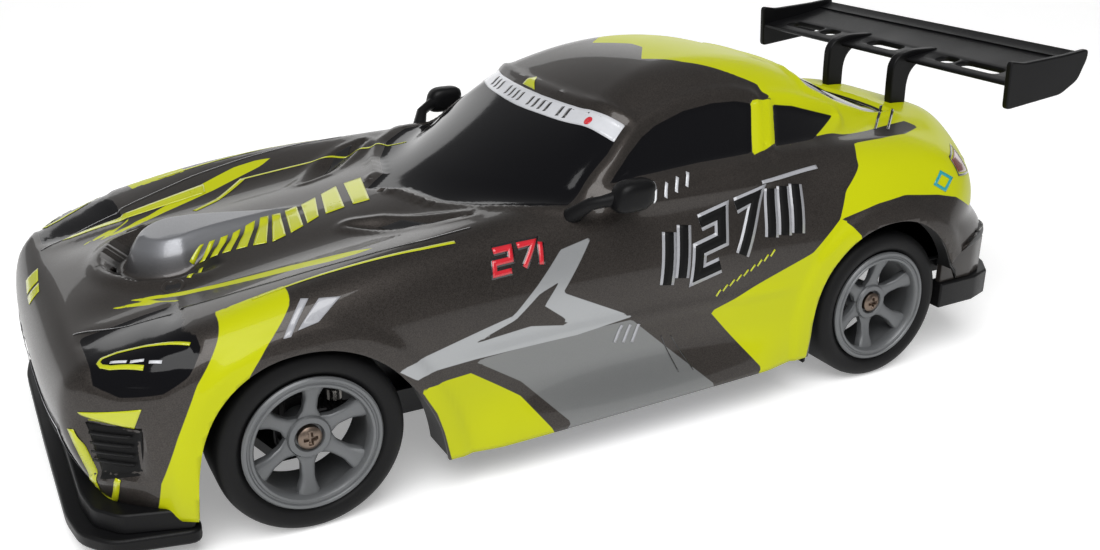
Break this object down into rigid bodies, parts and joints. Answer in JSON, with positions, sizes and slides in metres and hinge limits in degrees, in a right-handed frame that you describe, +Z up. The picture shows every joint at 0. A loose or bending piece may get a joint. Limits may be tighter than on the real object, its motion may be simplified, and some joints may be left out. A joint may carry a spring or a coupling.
{
  "type": "radio-controlled drift car",
  "caption": "Radio-controlled coupe drift car with a painted lift-off shell, rear wing, steering and sprung shaft-driven chassis.",
  "frame": {"origin": "On the ground under the middle of the car, between nose and wing", "axes": "+X forward to the nose, +Y to the car's left side, +Z up"},
  "size_m": [0.295, 0.1256, 0.0896],
  "materials": {
    "painted_shell": "metallic brown-grey paint under clear gloss, with yellow, silver and black graphics",
    "black_trim": "satin black moulding",
    "black_nylon": "matt glass-filled nylon",
    "battery_wrap": "shrink wrap",
    "electronics_case": "fine matt moulding",
    "motor_can": "satin metal",
    "bright_steel": "turned steel",
    "grey_wheel": "satin mid grey",
    "slick_tyre": "hard smooth drift compound",
    "bumper_foam": "closed-cell foam"
  },
  "bodies": {
    "chassis": {"chassis_tub": "black_nylon", "top_deck": "black_nylon", "front_gearbox": "black_nylon", "rear_gearbox": "black_nylon", "battery_pack": "battery_wrap", "battery_strap": "black_nylon", "control_box": "electronics_case", "steering_servo": "electronics_case", "drive_motor": "motor_can", "bumper_foam": "bumper_foam", "body_post_front": "black_nylon", "body_post_rear": "black_nylon", "shock_body_front_left": "motor_can", "shock_body_front_right": "motor_can", "shock_body_rear_left": "motor_can", "shock_body_rear_right": "motor_can"},
    "shell": {"body_shell": "painted_shell", "front_splitter": "black_trim", "rear_diffuser": "black_trim", "wing_blade": "black_trim", "wing_endplate_left": "black_trim", "wing_endplate_right": "black_trim", "wing_strut_left": "black_trim", "wing_strut_right": "black_trim", "mirror_left": "black_trim", "mirror_right": "black_trim"},
    "switch": {"power_switch": "electronics_case"},
    "horn": {"servo_horn": "black_nylon"},
    "link": {"steering_link": "black_nylon"},
    "tie_left": {"tie_rod_left": "bright_steel"},
    "tie_right": {"tie_rod_right": "bright_steel"},
    "arm_front_left": {"lower_arm_front_left": "black_nylon"},
    "carrier_front_left": {"hub_carrier_front_left": "black_nylon"},
    "knuckle_front_left": {"steering_knuckle_front_left": "black_nylon"},
    "wheel_front_left": {"rim_front_left": "grey_wheel", "tyre_front_left": "slick_tyre", "wheel_screw_front_left": "bright_steel"},
    "rod_front_left": {"shock_rod_front_left": "bright_steel"},
    "arm_front_right": {"lower_arm_front_right": "black_nylon"},
    "carrier_front_right": {"hub_carrier_front_right": "black_nylon"},
    "knuckle_front_right": {"steering_knuckle_front_right": "black_nylon"},
    "wheel_front_right": {"rim_front_right": "grey_wheel", "tyre_front_right": "slick_tyre", "wheel_screw_front_right": "bright_steel"},
    "rod_front_right": {"shock_rod_front_right": "bright_steel"},
    "arm_rear_left": {"lower_arm_rear_left": "black_nylon"},
    "carrier_rear_left": {"hub_carrier_rear_left": "black_nylon"},
    "wheel_rear_left": {"rim_rear_left": "grey_wheel", "tyre_rear_left": "slick_tyre", "wheel_screw_rear_left": "bright_steel"},
    "rod_rear_left": {"shock_rod_rear_left": "bright_steel"},
    "arm_rear_right": {"lower_arm_rear_right": "black_nylon"},
    "carrier_rear_right": {"hub_carrier_rear_right": "black_nylon"},
    "wheel_rear_right": {"rim_rear_right": "grey_wheel", "tyre_rear_right": "slick_tyre", "wheel_screw_rear_right": "bright_steel"},
    "rod_rear_right": {"shock_rod_rear_right": "bright_steel"},
    "shaft": {"centre_shaft": "bright_steel", "spur_gear": "black_nylon"},
    "pinion": {"motor_pinion": "motor_can"}
  },
  "joints": [
    {"name": "shell_lift", "type": "slide", "parent": "chassis", "child": "shell", "axis": [0, 0, 1], "range_m": [0, 0.09]},
    {"name": "power_slide", "type": "slide", "parent": "chassis", "child": "switch", "axis": [1, 0, 0], "range_m": [-0.003, 0]},
    {"name": "steer", "type": "hinge", "parent": "chassis", "child": "horn", "pos_m": [0.074, 0.01, 0.02], "axis": [0, 0, 1], "range_deg": [-28, 28]},
    {"name": "link_slide", "type": "slide", "parent": "chassis", "child": "link", "axis": [0, 1, 0], "range_m": [-0.005, 0.005]},
    {"name": "suspension_front_left", "type": "hinge", "parent": "chassis", "child": "arm_front_left", "pos_m": [0.0955, 0.02, 0.011], "axis": [1, 0, 0], "range_deg": [-8, 5.5], "stiffness_Nm_per_rad": 0.55, "springref_deg": -6.3},
    {"name": "carrier_pivot_front_left", "type": "hinge", "parent": "arm_front_left", "child": "carrier_front_left", "pos_m": [0.0955, 0.041, 0.0124], "axis": [1, 0, 0], "range_deg": [-6, 8.5]},
    {"name": "shock_slide_front_left", "type": "slide", "parent": "chassis", "child": "rod_front_left", "axis": [0, 0.3961, -0.9182], "range_m": [-0.0016, 0.0023]},
    {"name": "kingpin_front_left", "type": "hinge", "parent": "carrier_front_left", "child": "knuckle_front_left", "pos_m": [0.0955, 0.046, 0.022], "axis": [0, 0, 1], "range_deg": [-23, 23]},
    {"name": "tie_left_pivot", "type": "hinge", "parent": "link", "child": "tie_left", "pos_m": [0.084, 0.016, 0.0227], "axis": [1, 0, 0], "range_deg": [-8, 6]},
    {"name": "wheel_spin_front_left", "type": "hinge", "parent": "knuckle_front_left", "child": "wheel_front_left", "pos_m": [0.0955, 0.0528, 0.022], "axis": [0, 1, 0], "continuous": true},
    {"name": "suspension_front_right", "type": "hinge", "parent": "chassis", "child": "arm_front_right", "pos_m": [0.0955, -0.02, 0.011], "axis": [-1, 0, 0], "range_deg": [-8, 5.5], "stiffness_Nm_per_rad": 0.55, "springref_deg": -6.3},
    {"name": "carrier_pivot_front_right", "type": "hinge", "parent": "arm_front_right", "child": "carrier_front_right", "pos_m": [0.0955, -0.041, 0.0124], "axis": [-1, 0, 0], "range_deg": [-6, 8.5]},
    {"name": "shock_slide_front_right", "type": "slide", "parent": "chassis", "child": "rod_front_right", "axis": [0, -0.3961, -0.9182], "range_m": [-0.0016, 0.0023]},
    {"name": "kingpin_front_right", "type": "hinge", "parent": "carrier_front_right", "child": "knuckle_front_right", "pos_m": [0.0955, -0.046, 0.022], "axis": [0, 0, 1], "range_deg": [-23, 23]},
    {"name": "tie_right_pivot", "type": "hinge", "parent": "link", "child": "tie_right", "pos_m": [0.084, -0.016, 0.0227], "axis": [-1, 0, 0], "range_deg": [-8, 6]},
    {"name": "wheel_spin_front_right", "type": "hinge", "parent": "knuckle_front_right", "child": "wheel_front_right", "pos_m": [0.0955, -0.0528, 0.022], "axis": [0, 1, 0], "continuous": true},
    {"name": "suspension_rear_left", "type": "hinge", "parent": "chassis", "child": "arm_rear_left", "pos_m": [-0.0725, 0.02, 0.011], "axis": [1, 0, 0], "range_deg": [-8, 5.5], "stiffness_Nm_per_rad": 0.55, "springref_deg": -6.3},
    {"name": "carrier_pivot_rear_left", "type": "hinge", "parent": "arm_rear_left", "child": "carrier_rear_left", "pos_m": [-0.0725, 0.041, 0.0124], "axis": [1, 0, 0], "range_deg": [-6, 8.5]},
    {"name": "shock_slide_rear_left", "type": "slide", "parent": "chassis", "child": "rod_rear_left", "axis": [0, 0.3961, -0.9182], "range_m": [-0.0016, 0.0023]},
    {"name": "wheel_spin_rear_left", "type": "hinge", "parent": "carrier_rear_left", "child": "wheel_rear_left", "pos_m": [-0.0725, 0.0515, 0.022], "axis": [0, 1, 0], "continuous": true},
    {"name": "suspension_rear_right", "type": "hinge", "parent": "chassis", "child": "arm_rear_right", "pos_m": [-0.0725, -0.02, 0.011], "axis": [-1, 0, 0], "range_deg": [-8, 5.5], "stiffness_Nm_per_rad": 0.55, "springref_deg": -6.3},
    {"name": "carrier_pivot_rear_right", "type": "hinge", "parent": "arm_rear_right", "child": "carrier_rear_right", "pos_m": [-0.0725, -0.041, 0.0124], "axis": [-1, 0, 0], "range_deg": [-6, 8.5]},
    {"name": "shock_slide_rear_right", "type": "slide", "parent": "chassis", "child": "rod_rear_right", "axis": [0, -0.3961, -0.9182], "range_m": [-0.0016, 0.0023]},
    {"name": "wheel_spin_rear_right", "type": "hinge", "parent": "carrier_rear_right", "child": "wheel_rear_right", "pos_m": [-0.0725, -0.0515, 0.022], "axis": [0, 1, 0], "continuous": true},
    {"name": "shaft_spin", "type": "hinge", "parent": "chassis", "child": "shaft", "pos_m": [0, 0, 0.019], "axis": [1, 0, 0], "continuous": true},
    {"name": "pinion_spin", "type": "hinge", "parent": "chassis", "child": "pinion", "pos_m": [-0.03, -0.0132, 0.019], "axis": [1, 0, 0], "continuous": true}
  ],
  "couplings": [
    {"joint": "link_slide", "follows": "steer", "m_per_rad": 0.0091},
    {"joint": "carrier_pivot_front_left", "follows": "suspension_front_left", "ratio": -1},
    {"joint": "shock_slide_front_left", "follows": "suspension_front_left", "m_per_rad": -0.01503},
    {"joint": "kingpin_front_left", "follows": "steer", "ratio": 0.7813},
    {"joint": "tie_left_pivot", "follows": "suspension_front_left", "ratio": 0.85},
    {"joint": "wheel_spin_front_left", "follows": "wheel_spin_rear_left", "ratio": 1},
    {"joint": "carrier_pivot_front_right", "follows": "suspension_front_right", "ratio": -1},
    {"joint": "shock_slide_front_right", "follows": "suspension_front_right", "m_per_rad": -0.01503},
    {"joint": "kingpin_front_right", "follows": "steer", "ratio": 0.7813},
    {"joint": "tie_right_pivot", "follows": "suspension_front_right", "ratio": 0.85},
    {"joint": "wheel_spin_front_right", "follows": "wheel_spin_rear_left", "ratio": 1},
    {"joint": "carrier_pivot_rear_left", "follows": "suspension_rear_left", "ratio": -1},
    {"joint": "shock_slide_rear_left", "follows": "suspension_rear_left", "m_per_rad": -0.01503},
    {"joint": "carrier_pivot_rear_right", "follows": "suspension_rear_right", "ratio": -1},
    {"joint": "shock_slide_rear_right", "follows": "suspension_rear_right", "m_per_rad": -0.01503},
    {"joint": "wheel_spin_rear_right", "follows": "wheel_spin_rear_left", "ratio": 1},
    {"joint": "shaft_spin", "follows": "wheel_spin_rear_left", "ratio": 2.5},
    {"joint": "pinion_spin", "follows": "wheel_spin_rear_left", "ratio": -7}
  ]
}
